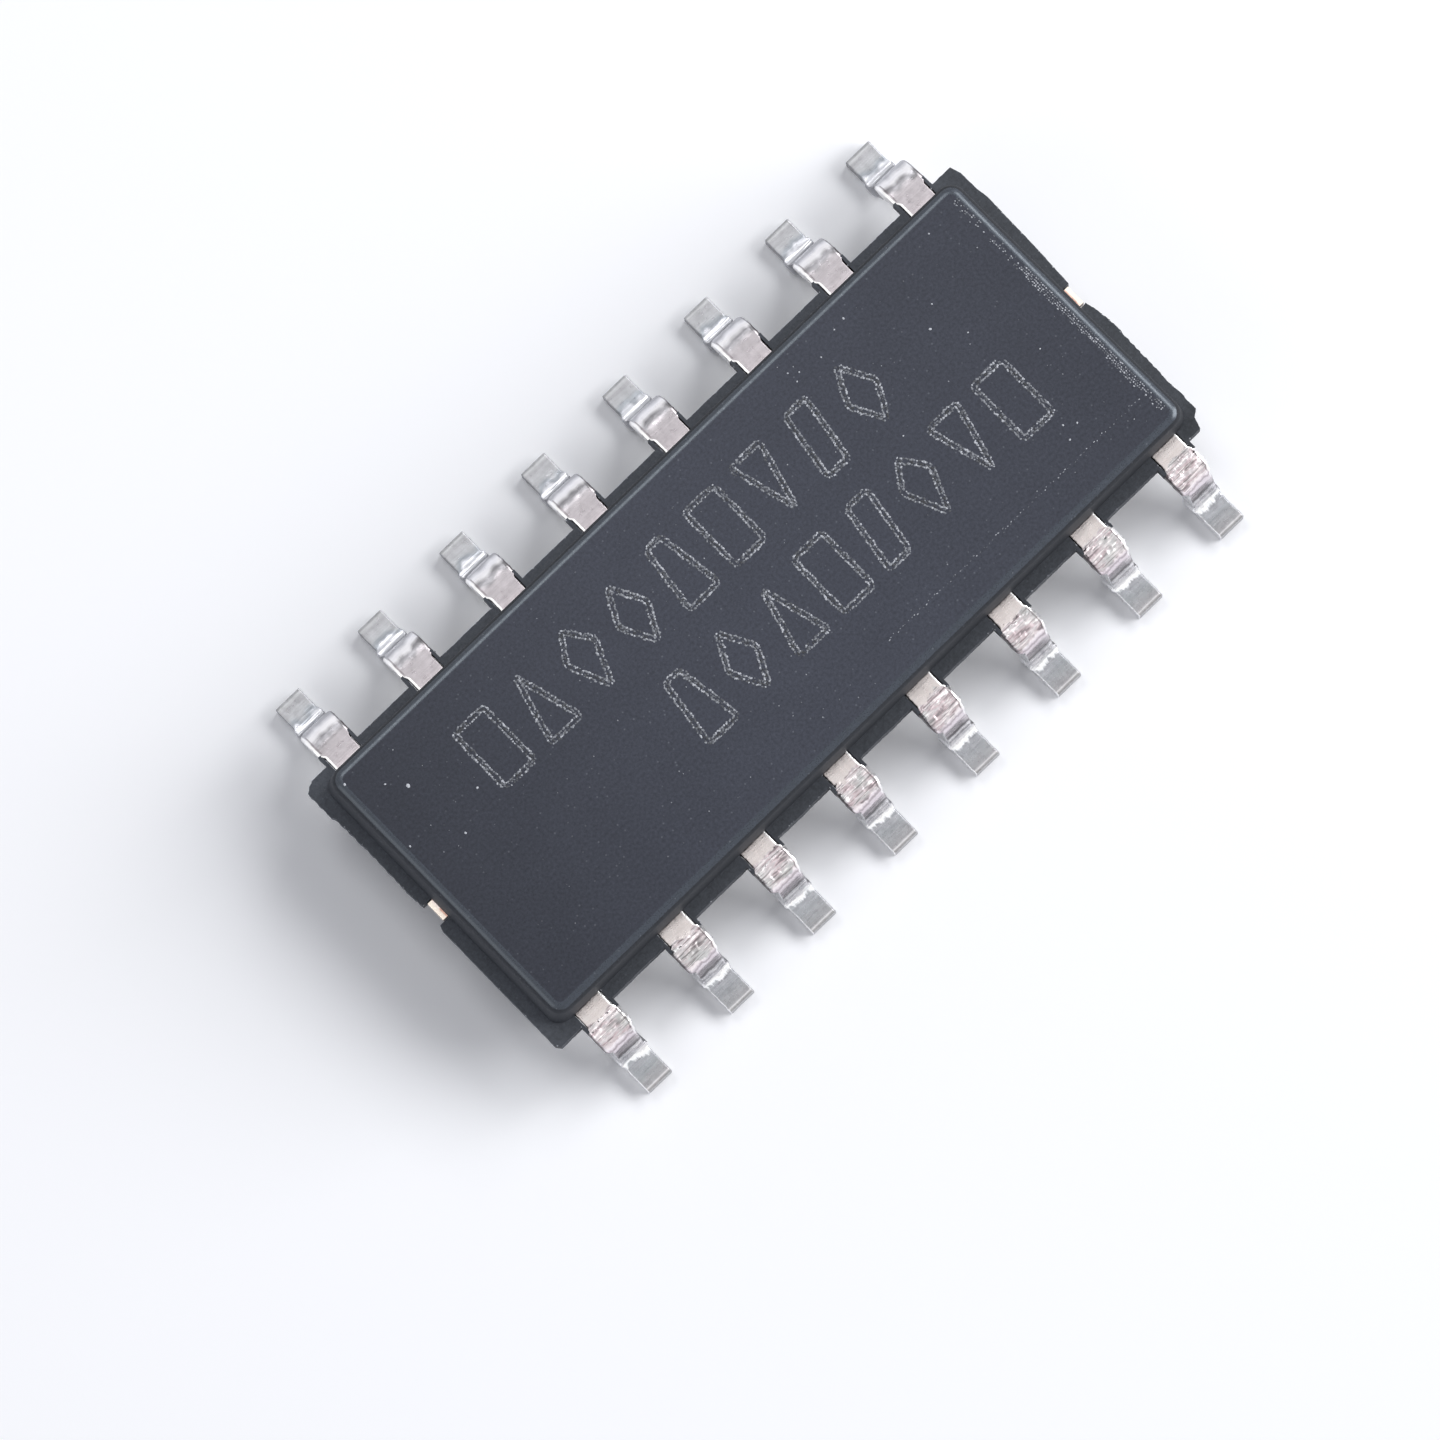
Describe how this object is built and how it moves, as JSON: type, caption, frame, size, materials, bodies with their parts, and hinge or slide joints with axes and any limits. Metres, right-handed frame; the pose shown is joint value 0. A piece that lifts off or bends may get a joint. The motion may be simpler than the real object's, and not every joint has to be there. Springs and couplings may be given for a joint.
{
  "type": "small-outline integrated circuit package",
  "caption": "Surface-mount integrated circuit: a flat dark moulded body with bent gull-wing leads along both long sides and a laser-marked top.",
  "frame": {"origin": "centre of the package on the plane that the lead feet stand on", "axes": "+X along the body from pin 1 towards pin 8, -Y towards the row of pins 1 to 8, +Z out of the marked top"},
  "size_m": [0.01, 0.006, 0.0015],
  "materials": {
    "mould_compound": "fine matt moulded epoxy",
    "tinned_lead": "matt tin plate over copper alloy",
    "copper_frame": "bare copper alloy, cut at the ends",
    "die_adhesive": "silver-filled epoxy",
    "silicon": "polished silicon",
    "bond_wire": "drawn gold wire"
  },
  "bodies": {
    "root": {"package_body": "mould_compound", "lead_01": "tinned_lead", "lead_02": "tinned_lead", "lead_03": "tinned_lead", "lead_04": "tinned_lead", "lead_05": "tinned_lead", "lead_06": "tinned_lead", "lead_07": "tinned_lead", "lead_08": "tinned_lead", "lead_09": "tinned_lead", "lead_10": "tinned_lead", "lead_11": "tinned_lead", "lead_12": "tinned_lead", "lead_13": "tinned_lead", "lead_14": "tinned_lead", "lead_15": "tinned_lead", "lead_16": "tinned_lead", "die_pad": "copper_frame", "die_attach": "die_adhesive", "die": "silicon", "bond_wire_01": "bond_wire", "bond_wire_02": "bond_wire", "bond_wire_03": "bond_wire", "bond_wire_04": "bond_wire", "bond_wire_05": "bond_wire", "bond_wire_06": "bond_wire", "bond_wire_07": "bond_wire", "bond_wire_08": "bond_wire", "bond_wire_09": "bond_wire", "bond_wire_10": "bond_wire", "bond_wire_11": "bond_wire", "bond_wire_12": "bond_wire", "bond_wire_13": "bond_wire", "bond_wire_14": "bond_wire", "bond_wire_15": "bond_wire", "bond_wire_16": "bond_wire"}
  },
  "joints": []
}
